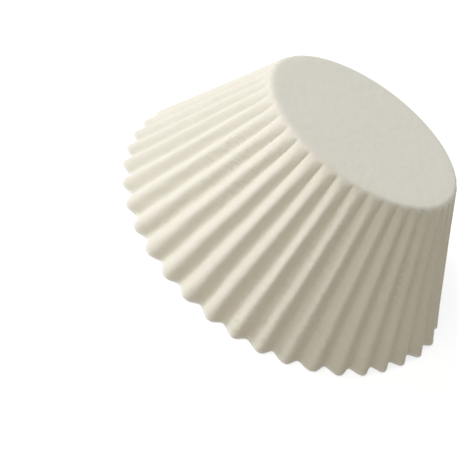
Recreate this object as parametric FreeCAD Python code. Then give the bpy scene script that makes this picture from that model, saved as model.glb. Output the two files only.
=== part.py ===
import FreeCAD, Part
import math
import os

# Paper cupcake liner, pressed from one round blank and standing on its open mouth.
# Millimetres, +Z up. The origin is on the mouth's plane, below the middle of the base.
# Flutes run straight from the shoulder of the flat base down to the mouth's edge.
# They are deepest at the mouth and fade out where the wall turns into the base.

# Overall sizes
base_diameter = 49.0        # where the wall's line meets the base's plane
mouth_diameter = 91.2       # mean, across the ridges
mouth_oval = 0.9            # how far the mouth's long radius passes the mean one
oval_bearing = 28.4         # degrees from +X to the mouth's long axis
cup_height = 32.8
shoulder_radius = 1.5       # outer face, where the wall turns into the base

# Paper
paper_thickness = 0.2

# Flutes
flute_count = 44
flute_depth = 1.7           # from ridge to valley, at the mouth
ridge_radius = 1.1          # outer face of a ridge, at the mouth
valley_radius = 0.9         # outer face of a valley, at the mouth
first_ridge_bearing = 6.5   # degrees from +X
fade_length = 4.6           # along the wall, from the shoulder to where flutes are full
fold_share = 0.25           # part of each half pitch that a fold takes at the shoulder
fold_facets = 4             # narrow flats that round each fold
shoulder_facets = 2         # rings of flats that round the shoulder

# Lines of the cone that carries the ridges
base_radius = base_diameter / 2.0
mouth_radius = mouth_diameter / 2.0
lean = math.atan2(mouth_radius - base_radius, cup_height)
shoulder_tangent = shoulder_radius * math.tan((math.pi / 2.0 - lean) / 2.0)
flat_radius = base_radius - shoulder_tangent
wall_top_radius = base_radius + shoulder_tangent * math.sin(lean)
wall_top_height = cup_height - shoulder_tangent * math.cos(lean)
wall_length = wall_top_height / math.cos(lean)
half_pitch = math.pi / flute_count

FLATNESS = 1e-7
SEAM_TOLERANCE = 1e-5


def polar(radius, bearing, height):
    """Give the point at a radius, a bearing in radians and a height."""
    return FreeCAD.Vector(radius * math.cos(bearing), radius * math.sin(bearing), height)


def fold_bearing(index):
    """Give the bearing of one fold: even indexes are ridges, odd ones valleys."""
    return math.radians(first_ridge_bearing) + index * half_pitch


def taper(share):
    """Give how much smaller the cup is than at its mouth, at a share of the wall."""
    return 1.0 + (wall_top_radius / mouth_radius - 1.0) * (1.0 - share)


def fold_radii(share, level_inset):
    """Give the radii of a ridge and a valley, moved into the cup by an inset."""
    scale = taper(share)
    return ridge_radius * scale - level_inset, valley_radius * scale + level_inset


def fold_centre(index, share):
    """Give the centre of a fold's arc in the section at one share of the wall."""
    bearing = fold_bearing(index)
    turn = 2.0 * (bearing - math.radians(oval_bearing))
    radius = mouth_radius + mouth_oval * math.cos(turn)
    if index % 2 == 0:
        radius -= ridge_radius
    else:
        radius += valley_radius - flute_depth
    return polar(radius * taper(share), bearing, wall_top_height * (1.0 - share))


def flank_heading(index, share):
    """Give the direction from a fold's centre to where its next flank touches it."""
    line = fold_centre(index + 1, share) - fold_centre(index, share)
    swing = math.acos(sum(fold_radii(share, 0.0)) / line.Length)
    return math.atan2(line.y, line.x) + (-swing if index % 2 == 0 else swing)


def fold_points(index, share, level_inset):
    """Round one fold: points on its arc, between the flanks that meet there."""
    centre = fold_centre(index, share)
    start = flank_heading(index - 1, share) + math.pi
    turn = flank_heading(index, share) - start
    turn -= 2.0 * math.pi * round(turn / (2.0 * math.pi))
    radius = fold_radii(share, level_inset)[index % 2]
    steps = range(fold_facets + 1)
    return [centre + polar(radius, start + turn * step / fold_facets, 0.0) for step in steps]


def fluted_ring(share, level_inset):
    """List the corners of the wall's section at one share of the wall."""
    ring = []
    for index in range(2 * flute_count):
        ring += fold_points(index, share, level_inset)
    return ring


def round_ring(radius, height):
    """List the corners of a plain ring, placed as those of the fluted sections are."""
    ring = []
    for index in range(2 * flute_count):
        for step in range(fold_facets + 1):
            offset = half_pitch * fold_share * (2.0 * step / fold_facets - 1.0)
            ring.append(polar(radius, fold_bearing(index) + offset, height))
    return ring


def flat_faces(corners):
    """Span four corners with one flat face, or two where they don't lie in a plane."""
    a, b, c, d = corners
    normal = (b - a).cross(c - a).normalize()
    outlines = [(a, b, c, d)] if abs(normal.dot(d - a)) < FLATNESS else [(a, b, c), (a, c, d)]
    return [Part.Face(Part.makePolygon(outline + outline[:1])) for outline in outlines]


def band(upper, lower):
    """Span the gap between two rings of equally many corners."""
    faces = []
    for index in range(len(upper)):
        corners = (upper[index - 1], upper[index], lower[index], lower[index - 1])
        faces += flat_faces(corners)
    return faces


def closed_wire(ring):
    """Join a ring's corners into one closed outline."""
    return Part.makePolygon(ring + ring[:1])


def paper_side(inset):
    """Make one side of the paper: the base, its shoulder and the fluted wall."""
    radius = shoulder_radius - inset
    rings = []
    for step in range(shoulder_facets + 1):
        angle = math.pi / 2.0 + (lean - math.pi / 2.0) * step / shoulder_facets
        height = cup_height - shoulder_radius + radius * math.sin(angle)
        rings.append(round_ring(flat_radius + radius * math.cos(angle), height))
    level_inset = inset / math.cos(lean)
    rings += [fluted_ring(share, level_inset) for share in (fade_length / wall_length, 1.0)]
    faces = [Part.Face(closed_wire(rings[0]))]
    for upper, lower in zip(rings, rings[1:]):
        faces += band(upper, lower)
    return faces


def mouth_edge():
    """Make the cut edge of the paper, a thin wavy ring on the mouth's plane."""
    insets = (0.0, paper_thickness / math.cos(lean))
    return band(*[fluted_ring(1.0, inset) for inset in insets])


def fluted_liner():
    """Join both sides of the paper and its cut edge into one closed solid."""
    faces = paper_side(0.0) + paper_side(paper_thickness) + mouth_edge()
    skin = Part.makeCompound(faces)
    skin.sewShape(SEAM_TOLERANCE)
    return Part.Solid(skin.Shells[0])


liner = fluted_liner()
os.makedirs("parts", exist_ok=True)
liner.exportStep("parts/fluted_liner.step")
print("fluted_liner solids", len(liner.Solids), "faces", len(liner.Faces), "valid", liner.isValid())
print("volume mm3", round(liner.Volume, 1), "box", liner.BoundBox)
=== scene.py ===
import logging
import math
from dataclasses import dataclass
from enum import Enum

import bmesh
import bpy
from mathutils import Matrix, Vector


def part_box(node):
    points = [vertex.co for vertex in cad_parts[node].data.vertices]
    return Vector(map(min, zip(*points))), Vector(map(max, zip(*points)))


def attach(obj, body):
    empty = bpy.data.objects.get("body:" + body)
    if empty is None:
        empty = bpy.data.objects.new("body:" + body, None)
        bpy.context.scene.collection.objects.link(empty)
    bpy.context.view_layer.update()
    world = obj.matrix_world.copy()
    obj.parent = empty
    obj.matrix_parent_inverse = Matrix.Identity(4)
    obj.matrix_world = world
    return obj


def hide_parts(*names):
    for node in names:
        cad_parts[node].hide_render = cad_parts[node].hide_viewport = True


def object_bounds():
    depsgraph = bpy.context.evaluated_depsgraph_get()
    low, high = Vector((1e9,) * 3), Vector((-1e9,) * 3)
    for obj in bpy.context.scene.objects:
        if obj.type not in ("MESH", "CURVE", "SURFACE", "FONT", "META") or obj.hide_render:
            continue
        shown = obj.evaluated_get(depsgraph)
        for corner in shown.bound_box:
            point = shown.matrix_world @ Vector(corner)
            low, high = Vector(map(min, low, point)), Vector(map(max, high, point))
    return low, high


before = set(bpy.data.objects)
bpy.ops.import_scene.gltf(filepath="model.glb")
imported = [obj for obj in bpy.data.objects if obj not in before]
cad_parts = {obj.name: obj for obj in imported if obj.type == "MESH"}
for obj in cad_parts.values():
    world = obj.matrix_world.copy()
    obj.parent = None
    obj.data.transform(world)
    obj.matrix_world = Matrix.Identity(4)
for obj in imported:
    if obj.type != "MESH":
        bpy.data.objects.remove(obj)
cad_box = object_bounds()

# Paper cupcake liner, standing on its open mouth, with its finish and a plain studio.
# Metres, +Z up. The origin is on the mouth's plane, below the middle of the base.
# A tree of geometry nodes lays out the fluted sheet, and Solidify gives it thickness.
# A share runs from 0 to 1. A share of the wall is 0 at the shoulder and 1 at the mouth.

log = logging.getLogger("cupcake_liner")

MM = 0.001
NODE = "fluted_liner"
PHOTO_PIXELS = 458

Socket = bpy.types.NodeSocket
Value = float | Socket
Colour = tuple[float, float, float]
Span = tuple[float, float]


class SheetMark(Enum):
    """Names of the values that the sheet carries for its materials."""

    VALLEY = "valley"
    DOWN_WALL = "down_wall"


class LampRole(Enum):
    """What each studio lamp is there for."""

    KEY = "key_lamp"
    TOP = "top_lamp"
    FRONT = "front_fill_lamp"
    BACK = "back_fill_lamp"


@dataclass(frozen=True)
class Sway:
    """One side of the mouth where the soft paper stands out of its regular place.

    Angles are in radians and lengths in metres. The movements are those at the mouth.
    """

    bearing: float
    width: float
    outward: float = 0.0
    sideways: float = 0.0
    upward: float = 0.0


class NodeSketch:
    """Draws nodes into a tree, with a short call for each kind that repeats."""

    def __init__(self, tree: bpy.types.NodeTree) -> None:
        """Start drawing in an empty tree.

        Args:
            tree: the tree that the nodes go into.
        """
        self.tree = tree
        self.tree.nodes.clear()

    def node(self, kind: str, **settings: object) -> bpy.types.Node:
        """Add a node and set its plain properties.

        Args:
            kind: the node's type name.
            settings: properties to set on it.

        Returns:
            The new node.
        """
        made = self.tree.nodes.new(kind)
        for name, value in settings.items():
            setattr(made, name, value)
        return made

    def feed(self, socket: Socket, value: object) -> None:
        """Link a socket to another one, or set its plain value.

        Args:
            socket: the input to feed.
            value: an output socket, or a value of the socket's own kind.
        """
        if isinstance(value, Socket):
            self.tree.links.new(value, socket)
        else:
            socket.default_value = value

    def math(self, operation: str, *values: Value) -> Socket:
        """Work out one step of arithmetic.

        Args:
            operation: the name of the Math node's operation.
            values: its operands, as sockets or numbers.

        Returns:
            The result's socket.
        """
        step = self.node("ShaderNodeMath", operation=operation)
        for socket, value in zip(step.inputs, values):
            self.feed(socket, value)
        return step.outputs[0]

    def total(self, *values: Value) -> Socket:
        """Add up several values.

        Args:
            values: sockets or numbers.

        Returns:
            The sum's socket.
        """
        result = values[0]
        for value in values[1:]:
            result = self.math("ADD", result, value)
        return result

    def ramp(self, value: Value, start: Value, end: Value, low: Value, high: Value,
             smooth: bool = False) -> Socket:
        """Map a value from one range to another and hold it at the ends.

        Args:
            value: the value to map.
            start: where the ramp begins.
            end: where it ends.
            low: the result at the start.
            high: the result at the end.
            smooth: whether it eases in and out.

        Returns:
            The mapped value's socket.
        """
        mapped = self.node("ShaderNodeMapRange", clamp=True)
        mapped.interpolation_type = "SMOOTHSTEP" if smooth else "LINEAR"
        for socket, item in zip(mapped.inputs, (value, start, end, low, high)):
            self.feed(socket, item)
        return mapped.outputs[0]

    def vector(self, x: Value, y: Value, z: Value) -> Socket:
        """Join three numbers into a vector.

        Args:
            x: the first part.
            y: the second part.
            z: the third part.

        Returns:
            The vector's socket.
        """
        joined = self.node("ShaderNodeCombineXYZ")
        for socket, value in zip(joined.inputs, (x, y, z)):
            self.feed(socket, value)
        return joined.outputs[0]

    def noise(self, place: Socket, scale: float, detail: float = 2.0,
              roughness: float = 0.5) -> Socket:
        """Give a soft random value between about 0 and 1 at a place.

        Args:
            place: the vector to read it at.
            scale: how many waves there are in one unit.
            detail: how many finer layers are added.
            roughness: how strong the finer layers are.

        Returns:
            The value's socket.
        """
        grain = self.node("ShaderNodeTexNoise")
        self.feed(grain.inputs["Vector"], place)
        grain.inputs["Scale"].default_value = scale
        grain.inputs["Detail"].default_value = detail
        grain.inputs["Roughness"].default_value = roughness
        return grain.outputs[0]

    def blend(self, share: Value, first: Colour | Socket, second: Colour | Socket) -> Socket:
        """Mix two colours.

        Args:
            share: how much of the second colour shows.
            first: a colour or its socket.
            second: a colour or its socket.

        Returns:
            The mixed colour's socket.
        """
        mixer = self.node("ShaderNodeMix", data_type="RGBA")
        colour_inputs, colour_output = mixer.inputs[6:8], mixer.outputs[2]
        self.feed(mixer.inputs[0], share)
        for socket, colour in zip(colour_inputs, (first, second)):
            self.feed(socket, (*colour, 1.0) if isinstance(colour, tuple) else colour)
        return colour_output


@dataclass(frozen=True)
class Outline:
    """Where a point of the sheet lies before it is fluted, as sockets."""

    radius: Socket          # distance from the cup's axis
    height: Socket          # height above the mouth's plane
    base_share: Socket      # share of the flat base, 1 at its edge and beyond
    wall_share: Socket      # share of the wall, also 0 on the base
    folded: Socket          # length of paper from the shoulder's middle down to the point
    edge_lift: Socket       # how far the mouth's outer corner lies above its inner one


@dataclass(frozen=True)
class Fluting:
    """What the flutes do to a point of the outline, as sockets."""

    bearing: Socket         # bearing round the cup, with the wander of the folds
    depth: Socket           # how far the point is moved in, towards the cup's axis
    valley: Socket          # mask for the materials' painted shade in the folds, 0 on a ridge and 1 in a full valley
    spot: Socket            # where on the sheet its random unevenness is read


@dataclass
class FlutedSheet:
    """The liner's paper: a flat base, a round shoulder and a wall of straight flutes.

    Lengths are in metres and angles in radians. The outer face follows the CAD solid's
    and stays inside its box.
    """

    # Outline
    cup_height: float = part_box(NODE)[1].z
    base_radius: float = 24.5 * MM
    mouth_radius: float = 45.45 * MM
    mouth_oval: float = 0.9 * MM            # how far the long radius passes the mean one
    oval_bearing: float = math.radians(28.4)
    shoulder_radius: float = 2.0 * MM
    paper_thickness: float = 0.2 * MM

    # Flutes
    flute_count: int = 44
    flute_depth: float = 1.7 * MM           # from ridge to valley, at the mouth
    first_ridge: float = math.radians(6.5)
    fold_softness: float = 0.6              # 0 is a sine wave and 1 a zigzag
    fade_length: float = 2.0 * MM           # how fast the flutes deepen below the shoulder
    crease_pinch: float = 0.75              # at the shoulder; less makes sharper valleys
    pinch_reach: float = 10.0 * MM          # from the shoulder to where the pinch is 1
    crease_reach: float = 14.0 * MM         # from the shoulder to where folds are soft
    mouth_pinch: float = 1.3                # over 1, ridges are broad and valleys narrow
    mouth_pinch_start: float = 0.6          # share of the wall where that begins

    # Where the mouth stands off its regular ring
    sways: tuple[Sway, ...] = (
        Sway(math.radians(340.8), math.radians(10.5), outward=1.2 * MM),
        Sway(math.radians(274.3), math.radians(12.0), outward=0.2 * MM),
        Sway(math.radians(215.3), math.radians(20.0), outward=-0.1 * MM),
        Sway(math.radians(347.3), math.radians(14.0), sideways=math.radians(1.4), upward=0.5 * MM),
        Sway(math.radians(287.0), math.radians(24.0), sideways=math.radians(-1.6)),
        Sway(math.radians(176.3), math.radians(25.0), sideways=math.radians(1.8), upward=0.4 * MM),
    )

    # Unevenness of pressed paper
    wander: float = 0.13                    # of the folds, in shares of their pitch
    wander_waves: float = 6.0               # in one radian round the cup
    wander_growth: float = 0.5              # share of the wall where it is full
    depth_spread: float = 0.16              # of the flutes, in shares of their depth
    depth_waves: float = 7.0                # in one radian round the cup
    mouth_ripple: float = 0.35 * MM
    mouth_waves: float = 5.0                # in one radian round the cup
    mouth_hold: float = 6.0                 # more keeps the ripple closer to the mouth
    base_ripple: float = 0.10 * MM
    base_waves: float = 90.0                # in one metre
    base_settle: float = 0.75               # share of the base where the ripple starts to fade
    seed: float = 7.3

    # Mesh
    columns_per_flute: int = 18
    base_rows: int = 12
    shoulder_rows: int = 6
    wall_rows: int = 34
    row_spread: float = 1.25                # over 1, rows are closer near the shoulder
    merge_distance: float = 0.0005 * MM     # closes the sheet's seam and the base's middle
    sharp_edge: float = math.radians(55.0)  # an edge that turns this far stays sharp

    # Sizes that are inputs of the tree
    inputs: tuple[str, ...] = (
        "cup_height", "base_radius", "mouth_radius", "mouth_oval", "oval_bearing",
        "shoulder_radius", "paper_thickness", "flute_count", "flute_depth", "first_ridge",
        "fold_softness", "fade_length", "crease_pinch", "pinch_reach", "crease_reach",
        "mouth_pinch", "mouth_pinch_start", "wander", "depth_spread", "mouth_ripple",
        "base_ripple", "seed",
    )

    def values(self) -> dict[str, float]:
        """List the tree's inputs, such as Cup Height, and each sway's own.

        Returns:
            Each named input's value.
        """
        listed = {size.replace("_", " ").title(): float(getattr(self, size)) for size in self.inputs}
        for number, sway in enumerate(self.sways, start=1):
            for name, value in vars(sway).items():
                listed[f"Sway {number} {name.title()}"] = float(value)
        return listed

    def tree(self, face: bpy.types.Material) -> tuple[bpy.types.NodeTree, dict[str, str]]:
        """Draw the tree that lays the sheet out on a grid, from base middle to mouth.

        Args:
            face: the paper's material.

        Returns:
            The tree, and each named input's socket identifier.
        """
        tree = bpy.data.node_groups.new("fluted_sheet", "GeometryNodeTree")
        sketch = NodeSketch(tree)
        tree.interface.new_socket("Sheet", in_out="OUTPUT", socket_type="NodeSocketGeometry")
        identifiers = {}
        for name in self.values():
            made = tree.interface.new_socket(name, in_out="INPUT", socket_type="NodeSocketFloat")
            identifiers[name] = made.identifier
        given = sketch.node("NodeGroupInput").outputs

        # A grid of 1 by 1, with X round the cup and Y from the base's middle to the mouth
        rows = self.base_rows + self.shoulder_rows + self.wall_rows
        columns = self.flute_count * self.columns_per_flute
        grid = sketch.node("GeometryNodeMeshGrid")
        for socket, value in zip(grid.inputs, (1.0, 1.0, columns + 1, rows + 1)):
            socket.default_value = value
        corner = sketch.node("ShaderNodeSeparateXYZ")
        sketch.feed(corner.inputs[0], sketch.node("GeometryNodeInputPosition").outputs[0])
        around = sketch.math("ADD", corner.outputs[0], 0.5)
        out_share = sketch.math("ADD", corner.outputs[1], 0.5)

        outline = self._outline(sketch, given, out_share, rows)
        fluting = self._fluting(sketch, given, around, outline)
        spread = self._place_points(sketch, given, outline, fluting)

        stored = self._carry_marks(sketch, grid.outputs[0], {
            SheetMark.VALLEY: fluting.valley,
            SheetMark.DOWN_WALL: outline.wall_share,
        })
        moved = sketch.node("GeometryNodeSetPosition")
        sketch.feed(moved.inputs["Geometry"], stored)
        sketch.feed(moved.inputs["Position"], spread)
        closed = sketch.node("GeometryNodeMergeByDistance")
        sketch.feed(closed.inputs["Geometry"], moved.outputs[0])
        closed.inputs["Distance"].default_value = self.merge_distance
        turned = sketch.node("GeometryNodeFlipFaces")
        sketch.feed(turned.inputs[0], closed.outputs[0])
        real = sketch.node("GeometryNodeRealizeInstances")
        sketch.feed(real.inputs[0], turned.outputs[0])
        dressed = sketch.node("GeometryNodeSetMaterial")
        sketch.feed(dressed.inputs["Geometry"], real.outputs[0])
        dressed.inputs["Material"].default_value = face
        sketch.feed(sketch.node("NodeGroupOutput").inputs[0], dressed.outputs[0])
        return tree, identifiers

    def _outline(self, sketch: NodeSketch, given: bpy.types.NodeOutputs,
                 out_share: Socket, rows: int) -> Outline:
        """Follow the sheet outwards: flat base, shoulder's arc, sloping wall.

        Args:
            sketch: where to draw.
            given: the tree's inputs.
            out_share: the row's place, from 0 in the middle to 1 at the mouth.
            rows: how many rows of faces there are.

        Returns:
            The plain outline's sockets.
        """
        rise = sketch.math("SUBTRACT", given["Mouth Radius"], given["Base Radius"])
        lean = sketch.math("ARCTAN2", rise, given["Cup Height"])
        lean_sine = sketch.math("SINE", lean)
        lean_cosine = sketch.math("COSINE", lean)
        turn = sketch.math("SUBTRACT", math.pi / 2.0, lean)
        tangent = sketch.math("MULTIPLY", given["Shoulder Radius"],
                              sketch.math("TANGENT", sketch.math("MULTIPLY", turn, 0.5)))
        flat_radius = sketch.math("SUBTRACT", given["Base Radius"], tangent)
        slope_length = sketch.math("SQRT", sketch.total(
            sketch.math("POWER", rise, 2.0), sketch.math("POWER", given["Cup Height"], 2.0)))
        wall_length = sketch.math("SUBTRACT", slope_length, tangent)

        base_end = self.base_rows / rows
        shoulder_end = (self.base_rows + self.shoulder_rows) / rows
        on_base = sketch.ramp(out_share, 0.0, base_end, 0.0, flat_radius)
        bend = sketch.ramp(out_share, base_end, shoulder_end, 0.0, turn)
        wall_share = sketch.ramp(out_share, shoulder_end, 1.0, 0.0, 1.0)
        wall_share = sketch.math("POWER", wall_share, self.row_spread)
        along = sketch.math("MULTIPLY", wall_share, wall_length)
        half_arc = sketch.math("MULTIPLY", sketch.math("MULTIPLY", turn, 0.5),
                               given["Shoulder Radius"])
        shoulder_middle = (self.base_rows + 0.5 * self.shoulder_rows) / rows
        folded = sketch.ramp(out_share, shoulder_middle, shoulder_end, 0.0, half_arc)
        folded = sketch.math("ADD", folded, along)

        bend_out = sketch.math("MULTIPLY", given["Shoulder Radius"], sketch.math("SINE", bend))
        bend_down = sketch.math("MULTIPLY", given["Shoulder Radius"],
                                sketch.math("SUBTRACT", 1.0, sketch.math("COSINE", bend)))
        radius = sketch.total(on_base, bend_out, sketch.math("MULTIPLY", along, lean_sine))
        drop = sketch.total(bend_down, sketch.math("MULTIPLY", along, lean_cosine))
        return Outline(
            radius=radius,
            height=sketch.math("SUBTRACT", given["Cup Height"], drop),
            base_share=sketch.math("DIVIDE", on_base, flat_radius),
            wall_share=wall_share,
            folded=folded,
            edge_lift=sketch.math("MULTIPLY", given["Paper Thickness"], lean_sine),
        )

    def _sway(self, sketch: NodeSketch, given: bpy.types.NodeOutputs, bearing: Value,
              share: Value, way: str) -> Socket:
        """Add up how far the sways move a point one way, growing down the wall.

        Args:
            sketch: where to draw.
            given: the tree's inputs.
            bearing: the point's bearing.
            share: the point's share of the wall.
            way: which of a sway's movements to add up.

        Returns:
            The movement's socket.
        """
        moves = []
        for number in range(1, len(self.sways) + 1):
            # A bell curve of the bearing that closes round the circle
            off = sketch.math("SUBTRACT", bearing, given[f"Sway {number} Bearing"])
            fall = sketch.math("SUBTRACT", sketch.math("COSINE", off), 1.0)
            fall = sketch.math("MULTIPLY", fall, 2.0)
            spread = sketch.math("POWER", given[f"Sway {number} Width"], 2.0)
            lobe = sketch.math("EXPONENT", sketch.math("DIVIDE", fall, spread))
            moves.append(sketch.math("MULTIPLY", lobe, given[f"Sway {number} {way}"]))
        return sketch.math("MULTIPLY", sketch.total(*moves), share)

    def _fluting(self, sketch: NodeSketch, given: bpy.types.NodeOutputs,
                 around: Socket, outline: Outline) -> Fluting:
        """Fold the wall: the depth below the ridges, with a pressed paper's unevenness.

        Args:
            sketch: where to draw.
            given: the tree's inputs.
            around: the column's place, from 0 to 1 round the cup.
            outline: the plain outline's sockets.

        Returns:
            The flutes' sockets.
        """
        bearing = sketch.math("MULTIPLY", around, 2.0 * math.pi)
        spot = sketch.vector(sketch.math("COSINE", bearing), sketch.math("SINE", bearing),
                             sketch.total(outline.wall_share, given["Seed"]))
        drift = sketch.math("SUBTRACT", sketch.noise(spot, self.wander_waves), 0.5)
        pitch = sketch.math("DIVIDE", 2.0 * math.pi, given["Flute Count"])
        drift = sketch.math("MULTIPLY", drift, sketch.math("MULTIPLY", pitch, given["Wander"]))
        turned = sketch.math("ADD", bearing, given["First Ridge"])
        growth = sketch.ramp(outline.wall_share, 0.0, self.wander_growth, 0.0, 1.0)
        drift = sketch.math("MULTIPLY", drift, growth)
        sideways = self._sway(sketch, given, turned, outline.wall_share, "Sideways")
        turned = sketch.total(turned, drift, sideways)

        # Down the wall, a zigzag with its corners rounded: straight flanks, soft folds
        cosine = sketch.math("COSINE", sketch.math("MULTIPLY", bearing, given["Flute Count"]))
        fold = sketch.math("ARCSINE", sketch.math("MULTIPLY", cosine, given["Fold Softness"]))
        fold = sketch.math("DIVIDE", fold, sketch.math("ARCSINE", given["Fold Softness"]))
        soft = sketch.math("MULTIPLY", sketch.math("SUBTRACT", 1.0, fold), 0.5)
        narrowing = sketch.ramp(outline.wall_share, given["Mouth Pinch Start"], 1.0,
                                1.0, given["Mouth Pinch"])
        soft = sketch.math("POWER", soft, narrowing)

        # Near the shoulder, sharp creases between broad round ridges
        from_crease = sketch.math("MULTIPLY", sketch.math("ADD", cosine, 1.0), 0.5)
        pinch = sketch.ramp(outline.folded, 0.0, given["Pinch Reach"], given["Crease Pinch"], 1.0)
        crease = sketch.math("POWER", from_crease, sketch.math("MULTIPLY", pinch, 0.5))
        crease = sketch.math("SUBTRACT", 1.0, crease)
        eased = sketch.ramp(outline.folded, 0.0, given["Crease Reach"], 0.0, 1.0)
        valley = sketch.total(
            sketch.math("MULTIPLY", soft, eased),
            sketch.math("MULTIPLY", crease, sketch.math("SUBTRACT", 1.0, eased)))

        fade = sketch.math("DIVIDE", outline.folded, given["Fade Length"])
        fade = sketch.math("EXPONENT", sketch.math("MULTIPLY", fade, -1.0))
        fade = sketch.math("SUBTRACT", 1.0, fade)
        taper = sketch.math("DIVIDE", outline.radius, given["Mouth Radius"])
        uneven = sketch.math("SUBTRACT", sketch.noise(spot, self.depth_waves, detail=0.0), 0.5)
        uneven = sketch.math("MULTIPLY_ADD", uneven, given["Depth Spread"], 1.0)
        depth = sketch.math("MULTIPLY", given["Flute Depth"], sketch.math("MULTIPLY", fade, taper))
        depth = sketch.math("MULTIPLY", sketch.math("MULTIPLY", depth, uneven), valley)
        return Fluting(
            bearing=turned,
            depth=depth,
            valley=sketch.math("MULTIPLY", valley, fade),
            spot=spot,
        )

    def _place_points(self, sketch: NodeSketch, given: bpy.types.NodeOutputs,
                      outline: Outline, fluting: Fluting) -> Socket:
        """Turn radius, bearing and height into a point, with a slight oval and ripples.

        Args:
            sketch: where to draw.
            given: the tree's inputs.
            outline: the plain outline's sockets.
            fluting: the flutes' sockets.

        Returns:
            The position's socket.
        """
        off_axis = sketch.math("SUBTRACT", fluting.bearing, given["Oval Bearing"])
        oval = sketch.math("COSINE", sketch.math("MULTIPLY", off_axis, 2.0))
        oval = sketch.math("MULTIPLY", sketch.math("MULTIPLY", oval, given["Mouth Oval"]),
                           outline.wall_share)
        outward = self._sway(sketch, given, fluting.bearing, outline.wall_share, "Outward")
        radius = sketch.total(outline.radius, oval, outward)
        radius = sketch.math("SUBTRACT", radius, fluting.depth)

        near_mouth = sketch.math("POWER", outline.wall_share, self.mouth_hold)
        ripple = sketch.noise(fluting.spot, self.mouth_waves, detail=1.0)
        ripple = sketch.math("MULTIPLY", ripple, near_mouth)
        upward = self._sway(sketch, given, fluting.bearing, outline.wall_share, "Upward")
        lift = sketch.total(
            sketch.math("MULTIPLY", near_mouth, outline.edge_lift),
            sketch.math("MULTIPLY", ripple, given["Mouth Ripple"]), upward)
        x = sketch.math("MULTIPLY", radius, sketch.math("COSINE", fluting.bearing))
        y = sketch.math("MULTIPLY", radius, sketch.math("SINE", fluting.bearing))

        flat_spot = sketch.vector(x, y, given["Seed"])
        sag = sketch.noise(flat_spot, self.base_waves, detail=1.0)
        sag = sketch.math("MULTIPLY", sag, given["Base Ripple"])
        settled = sketch.ramp(outline.base_share, self.base_settle, 1.0, 1.0, 0.0, smooth=True)
        sag = sketch.math("MULTIPLY", sag, settled)
        z = sketch.math("SUBTRACT", sketch.math("ADD", outline.height, lift), sag)
        return sketch.vector(x, y, z)

    def _carry_marks(self, sketch: NodeSketch, geometry: Socket,
                     marks: dict[SheetMark, Value]) -> Socket:
        """Store named values on the sheet's points for the materials to read.

        Args:
            sketch: where to draw.
            geometry: the sheet so far.
            marks: each mark and its socket.

        Returns:
            The sheet's socket, with the marks on it.
        """
        for mark, value in marks.items():
            store = sketch.node("GeometryNodeStoreNamedAttribute", data_type="FLOAT", domain="POINT")
            sketch.feed(store.inputs["Geometry"], geometry)
            store.inputs["Name"].default_value = mark.value
            sketch.feed(store.inputs["Value"], value)
            geometry = store.outputs[0]
        return geometry

    def build(self, face: bpy.types.Material, cut: bpy.types.Material) -> bpy.types.Object:
        """Make the sheet as a plain closed mesh with the paper's thickness.

        Args:
            face: the paper's material on both sides.
            cut: the material of its cut edge.

        Returns:
            The finished object, at the origin, unturned and unscaled.
        """
        tree, identifiers = self.tree(face)
        seedling = bpy.data.objects.new("fluted_sheet", bpy.data.meshes.new("fluted_sheet"))
        bpy.context.scene.collection.objects.link(seedling)
        layout = seedling.modifiers.new("fluted_sheet", "NODES")
        layout.node_group = tree
        for name, value in self.values().items():
            layout[identifiers[name]] = value
        sheet = plain_copy(seedling, "paper_liner")
        sheet.data.materials.clear()
        for material in (face, cut):
            sheet.data.materials.append(material)

        wall = sheet.modifiers.new("paper_thickness", "SOLIDIFY")
        wall.thickness = self.paper_thickness
        wall.offset = -1.0
        wall.use_even_offset = True
        wall.material_offset_rim = 1
        liner = plain_copy(sheet, "paper_liner")
        self._sharpen_cut(liner.data)
        return liner

    def _sharpen_cut(self, mesh: bpy.types.Mesh) -> None:
        """Shade the paper smooth, but keep the corners of its cut edge sharp.

        Args:
            mesh: the liner's mesh.
        """
        work = bmesh.new()
        work.from_mesh(mesh)
        for face in work.faces:
            face.smooth = True
        for edge in work.edges:
            edge.smooth = edge.calc_face_angle(0.0) < self.sharp_edge
        work.to_mesh(mesh)
        work.free()


def plain_copy(source: bpy.types.Object, name: str) -> bpy.types.Object:
    """Turn an object with modifiers into one plain mesh, and delete the source.

    Args:
        source: the object whose modifiers are made real.
        name: what the plain object is called.

    Returns:
        The plain object, linked to the scene.
    """
    graph = bpy.context.evaluated_depsgraph_get()
    mesh = bpy.data.meshes.new_from_object(source.evaluated_get(graph), depsgraph=graph)
    bpy.data.objects.remove(source)
    made = bpy.data.objects.new(name, mesh)
    mesh.name = name
    bpy.context.scene.collection.objects.link(made)
    return made


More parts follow.
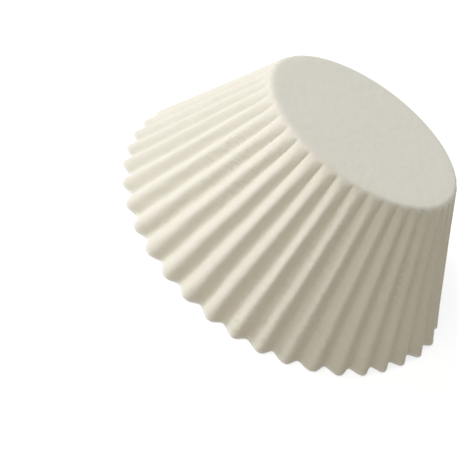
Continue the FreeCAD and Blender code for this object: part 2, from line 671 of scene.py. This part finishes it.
@dataclass(frozen=True)
class PaperFibres:
    """A paper's small-scale look: fibres, cloudiness and the press's fine wrinkles.

    Scales are in waves per metre. A mask or height is how much a noise adds to that
    output, and a height of 1 is the finish's relief. A span is the part of a noise's
    range over which the wrinkles, or the patches that they come in, grow to full.
    """

    fibre_scale: float = 1900.0
    fibre_roughness: float = 0.65
    fibre_mask: float = 0.45
    fibre_height: float = 0.4

    cloud_scale: float = 140.0
    cloud_roughness: float = 0.55
    cloud_mask: float = 0.55

    dimple_scale: float = 480.0
    dimple_height: float = 1.8

    wrinkle_scale: float = 1500.0
    wrinkle_stretch: float = 0.2
    wrinkle_span: Span = (0.45, 0.72)
    patch_scale: float = 75.0
    patch_span: Span = (0.46, 0.62)
    patch_least: float = 0.1

    def group(self) -> bpy.types.NodeTree:
        """Build the shader group that every paper material places.

        Returns:
            A group with Wrinkles in, and Mask and Height out.
        """
        tree = bpy.data.node_groups.new("paper_fibres", "ShaderNodeTree")
        sketch = NodeSketch(tree)
        tree.interface.new_socket("Wrinkles", in_out="INPUT", socket_type="NodeSocketFloat")
        tree.interface.new_socket("Mask", in_out="OUTPUT", socket_type="NodeSocketFloat")
        tree.interface.new_socket("Height", in_out="OUTPUT", socket_type="NodeSocketFloat")
        wrinkles = sketch.node("NodeGroupInput").outputs["Wrinkles"]
        here = sketch.node("ShaderNodeTexCoord").outputs["Object"]
        fibres = sketch.noise(here, self.fibre_scale, detail=3.0, roughness=self.fibre_roughness)
        clouds = sketch.noise(here, self.cloud_scale, detail=3.0, roughness=self.cloud_roughness)
        dimples = sketch.noise(here, self.dimple_scale)

        stretched = sketch.node("ShaderNodeMapping")
        sketch.feed(stretched.inputs["Vector"], here)
        level = self.wrinkle_stretch
        stretched.inputs["Scale"].default_value = (level, level, 1.0)
        lines = sketch.noise(stretched.outputs[0], self.wrinkle_scale, detail=1.0)
        lines = sketch.ramp(lines, *self.wrinkle_span, 0.0, 1.0, smooth=True)
        patches = sketch.noise(here, self.patch_scale, detail=1.0)
        patches = sketch.ramp(patches, *self.patch_span, self.patch_least, 1.0, smooth=True)
        lines = sketch.math("MULTIPLY", sketch.math("MULTIPLY", lines, patches), wrinkles)

        mask = sketch.total(sketch.math("MULTIPLY", clouds, self.cloud_mask),
                            sketch.math("MULTIPLY", fibres, self.fibre_mask))
        height = sketch.total(sketch.math("MULTIPLY", fibres, self.fibre_height),
                              sketch.math("MULTIPLY", dimples, self.dimple_height), lines)
        out = sketch.node("NodeGroupOutput")
        sketch.feed(out.inputs["Mask"], mask)
        sketch.feed(out.inputs["Height"], height)
        return tree


@dataclass(frozen=True)
class PaperFinish:
    """White baking paper: matt, slightly warm, a little darker down in the folds, where shade is
    painted.

    The relief is in metres, and the spans are shares of the wall over which the wrinkles
    and the painted highlight along the mouth come in. The other values run from 0 to 1.
    """

    name: str
    colour: Colour
    # darker colour: painted shade in the valleys, and the paper's own cloudy tone
    shade_and_cloud_colour: Colour
    # colour of the painted highlight along the mouth's cut edge
    mouth_highlight_colour: Colour
    # how much painted shade the valleys get, as a share of the darker colour
    valley_painted_shade: float
    cloud_share: float
    # how strong the painted highlight along the mouth is
    mouth_highlight_share: float
    wrinkles: float
    roughness: float
    relief: float
    roughness_spread: float = 0.14
    specular: float = 0.25
    wrinkle_start: Span = (0.02, 0.12)
    # where the painted highlight along the mouth comes in
    mouth_highlight_start: Span = (0.975, 0.992)

    def material(self, fibres: bpy.types.NodeTree) -> bpy.types.Material:
        """Build the node material.

        Args:
            fibres: the shared group of the paper's small-scale look.

        Returns:
            The material.
        """
        made = bpy.data.materials.new(self.name)
        made.use_nodes = True
        sketch = NodeSketch(made.node_tree)
        grain = sketch.node("ShaderNodeGroup", node_tree=fibres)
        valley = sketch.node("ShaderNodeAttribute", attribute_name=SheetMark.VALLEY.value)
        down = sketch.node("ShaderNodeAttribute", attribute_name=SheetMark.DOWN_WALL.value)
        on_wall = sketch.ramp(down.outputs["Fac"], *self.wrinkle_start, 0.0, self.wrinkles)
        sketch.feed(grain.inputs["Wrinkles"], on_wall)
        # Painted shade darkens the valleys; the clouds add the paper's own uneven tone
        shade = sketch.total(
            sketch.math("MULTIPLY", valley.outputs["Fac"], self.valley_painted_shade),
            sketch.math("MULTIPLY", grain.outputs["Mask"], self.cloud_share))
        tint = sketch.blend(shade, self.colour, self.shade_and_cloud_colour)
        # Painted highlight: a paler band along the mouth, where the cut edge catches light
        edge = sketch.ramp(down.outputs["Fac"], *self.mouth_highlight_start, 0.0, self.mouth_highlight_share, smooth=True)
        tint = sketch.blend(edge, tint, self.mouth_highlight_colour)
        rough = sketch.math("MULTIPLY_ADD", grain.outputs["Mask"], self.roughness_spread,
                            self.roughness)
        bump = sketch.node("ShaderNodeBump")
        bump.inputs["Distance"].default_value = self.relief
        sketch.feed(bump.inputs["Height"], grain.outputs["Height"])
        paper = sketch.node("ShaderNodeBsdfPrincipled")
        paper.inputs["Specular IOR Level"].default_value = self.specular
        sketch.feed(paper.inputs["Base Color"], tint)
        sketch.feed(paper.inputs["Roughness"], rough)
        sketch.feed(paper.inputs["Normal"], bump.outputs["Normal"])
        sketch.feed(sketch.node("ShaderNodeOutputMaterial").inputs["Surface"], paper.outputs[0])
        return made


FACE_FINISH = PaperFinish(
    name="baking_paper_face",
    colour=(0.93, 0.90, 0.835),
    # darker colour for the painted shade in the valleys and the cloudy tone
    shade_and_cloud_colour=(0.85, 0.81, 0.71),
    # painted highlight along the mouth
    mouth_highlight_colour=(0.99, 0.98, 0.94),
    valley_painted_shade=0.32,
    cloud_share=0.30,
    mouth_highlight_share=0.9,
    wrinkles=0.8,
    roughness=0.70,
    relief=0.08 * MM,
)
CUT_FINISH = PaperFinish(
    name="baking_paper_cut_edge",
    colour=(0.95, 0.93, 0.87),
    shade_and_cloud_colour=(0.87, 0.84, 0.75),
    # painted highlight along the mouth
    mouth_highlight_colour=(0.96, 0.94, 0.88),
    valley_painted_shade=0.0,
    cloud_share=0.6,
    mouth_highlight_share=0.3,
    wrinkles=0.0,
    roughness=0.82,
    relief=0.04 * MM,
)


@dataclass(frozen=True)
class Viewpoint:
    """The photograph's view of the cup, worked out from its base, mouth and flutes.

    Lengths are in metres, apart from the sensor's width in millimetres, and angles are
    in radians. The focal length is in the photograph's pixels.
    """

    aim: Vector = Vector((-14.45, -36.21, 16.4)) * MM
    distance: float = 107.3 * MM
    azimuth: float = math.radians(-93.72)
    elevation: float = math.radians(41.08)
    roll: float = math.radians(34.92)
    focal_pixels: float = 557.0
    sensor: float = 36.0
    nearest: float = 1.0 * MM
    farthest: float = 10.0

    def build(self) -> bpy.types.Object:
        """Make the camera and hand it to the scene.

        Returns:
            The camera's object.
        """
        data = bpy.data.cameras.new("photo_view")
        data.sensor_width = self.sensor
        data.lens = self.focal_pixels / PHOTO_PIXELS * self.sensor
        data.clip_start = self.nearest
        data.clip_end = self.farthest
        camera = bpy.data.objects.new("photo_view", data)
        back = Vector((
            math.cos(self.azimuth) * math.cos(self.elevation),
            math.sin(self.azimuth) * math.cos(self.elevation),
            math.sin(self.elevation),
        ))
        level = (-back).to_track_quat("-Z", "Y").to_matrix().to_4x4()
        place = Matrix.Translation(self.aim + back * self.distance)
        camera.matrix_world = place @ level @ Matrix.Rotation(self.roll, 4, "Z")
        bpy.context.scene.collection.objects.link(camera)
        bpy.context.scene.camera = camera
        return camera


@dataclass(frozen=True)
class Lamp:
    """One soft square lamp that points at the cup.

    Angles are in degrees and lengths in metres.
    """

    role: LampRole
    azimuth: float
    elevation: float
    distance: float
    size: float
    watts: float
    colour: Colour = (1.0, 1.0, 1.0)

    def build(self, target: Vector) -> bpy.types.Object:
        """Place the lamp on its bearing and turn it to the target.

        Args:
            target: the point that it lights.

        Returns:
            The lamp's object.
        """
        data = bpy.data.lights.new(self.role.value, "AREA")
        data.size = self.size
        data.energy = self.watts
        data.color = self.colour
        lamp = bpy.data.objects.new(self.role.value, data)
        bearing, rise = math.radians(self.azimuth), math.radians(self.elevation)
        away = Vector((
            math.cos(bearing) * math.cos(rise),
            math.sin(bearing) * math.cos(rise),
            math.sin(rise),
        ))
        lamp.location = target + away * self.distance
        lamp.rotation_mode = "QUATERNION"
        lamp.rotation_quaternion = (-away).to_track_quat("-Z", "Y")
        bpy.context.scene.collection.objects.link(lamp)
        return lamp


@dataclass
class Studio:
    """A floor that shows white, an even sky and the lamps. Lengths are in metres."""

    floor_size: float = 3.0
    floor_colour: Colour = (0.68, 0.645, 0.56)
    glow_colour: Colour = (0.92, 0.945, 1.0)    # cool, so that the warm floor's shadow is grey
    near_glow: float = 0.74                     # round the cup, where the lamps add the rest
    far_glow: float = 1.1
    glow_span: Span = (0.1, 0.4)                # distances where one gives way to the other
    sky_colour: Colour = (0.95, 1.0, 1.0)
    sky_strength: float = 0.06
    lamps: tuple[Lamp, ...] = (
        Lamp(LampRole.KEY, azimuth=180.0, elevation=24.0, distance=0.8, size=0.3, watts=3.62,
             colour=(0.99, 0.99, 0.97)),
        Lamp(LampRole.TOP, azimuth=195.0, elevation=50.0, distance=0.8, size=0.25, watts=1.75,
             colour=(1.0, 0.985, 0.93)),
        Lamp(LampRole.FRONT, azimuth=300.0, elevation=30.0, distance=0.8, size=0.25, watts=1.22,
             colour=(1.0, 0.91, 0.72)),
        Lamp(LampRole.BACK, azimuth=60.0, elevation=25.0, distance=0.8, size=0.25, watts=1.7,
             colour=(0.88, 0.98, 1.0)),
    )

    def build(self, target: Vector) -> None:
        """Make the floor, the sky and the lamps, and set the plain view.

        Args:
            target: the middle of the cup.
        """
        self._floor()
        self._sky()
        for lamp in self.lamps:
            lamp.build(target)
        bpy.context.scene.view_settings.view_transform = "Standard"

    def _seen(self, sketch: NodeSketch) -> Socket:
        """Give 1 for what the camera sees, also in gloss and through clear things.

        Args:
            sketch: where to draw.

        Returns:
            The mask's socket.
        """
        rays = sketch.node("ShaderNodeLightPath").outputs
        seen = sketch.math("MAXIMUM", rays["Is Camera Ray"], rays["Is Glossy Ray"])
        return sketch.math("MAXIMUM", seen, rays["Is Transmission Ray"])

    def _floor(self) -> bpy.types.Object:
        """Lay a pale floor that shows white: it glows, more so where the lamps reach less.

        Returns:
            The floor's object.
        """
        mesh = bpy.data.meshes.new("studio_floor")
        half = self.floor_size / 2.0
        corners = [(-half, -half, 0.0), (half, -half, 0.0), (half, half, 0.0), (-half, half, 0.0)]
        mesh.from_pydata(corners, [], [(0, 1, 2, 3)])
        floor = bpy.data.objects.new("studio_floor", mesh)
        bpy.context.scene.collection.objects.link(floor)
        paint = bpy.data.materials.new("studio_floor")
        paint.use_nodes = True
        sketch = NodeSketch(paint.node_tree)
        flat = sketch.node("ShaderNodeBsdfDiffuse")
        flat.inputs["Color"].default_value = (*self.floor_colour, 1.0)
        glow = sketch.node("ShaderNodeEmission")
        glow.inputs["Color"].default_value = (*self.glow_colour, 1.0)
        away = sketch.node("ShaderNodeVectorMath", operation="LENGTH")
        sketch.feed(away.inputs[0], sketch.node("ShaderNodeTexCoord").outputs["Object"])
        strength = sketch.ramp(away.outputs["Value"], *self.glow_span, self.near_glow,
                               self.far_glow, smooth=True)
        strength = sketch.math("MULTIPLY", self._seen(sketch), strength)
        sketch.feed(glow.inputs["Strength"], strength)
        both = sketch.node("ShaderNodeAddShader")
        sketch.feed(both.inputs[0], flat.outputs[0])
        sketch.feed(both.inputs[1], glow.outputs[0])
        sketch.feed(sketch.node("ShaderNodeOutputMaterial").inputs["Surface"], both.outputs[0])
        mesh.materials.append(paint)
        return floor

    def _sky(self) -> None:
        """Light the cup evenly from all round, and show white to the camera."""
        world = bpy.data.worlds.new("studio_sky")
        bpy.context.scene.world = world
        world.use_nodes = True
        sketch = NodeSketch(world.node_tree)
        light = sketch.node("ShaderNodeBackground")
        light.inputs["Color"].default_value = (*self.sky_colour, 1.0)
        light.inputs["Strength"].default_value = self.sky_strength
        white = sketch.node("ShaderNodeBackground")
        white.inputs["Color"].default_value = (1.0, 1.0, 1.0, 1.0)
        white.inputs["Strength"].default_value = 1.0
        choice = sketch.node("ShaderNodeMixShader")
        sketch.feed(choice.inputs[0], self._seen(sketch))
        sketch.feed(choice.inputs[1], light.outputs[0])
        sketch.feed(choice.inputs[2], white.outputs[0])
        sketch.feed(sketch.node("ShaderNodeOutputWorld").inputs["Surface"], choice.outputs[0])


def main() -> None:
    """Build the view, the liner and the studio, in that order."""
    logging.basicConfig(level=logging.INFO, format="%(message)s")
    Viewpoint().build()

    fibres = PaperFibres().group()
    face, cut = FACE_FINISH.material(fibres), CUT_FINISH.material(fibres)
    liner = FlutedSheet().build(face, cut)
    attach(liner, "root")
    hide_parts(NODE)
    log.info("%s: %d faces, replaces %s", liner.name, len(liner.data.polygons), NODE)

    low, high = cad_box
    Studio().build((low + high) / 2.0)


if __name__ == "__main__":
    main()
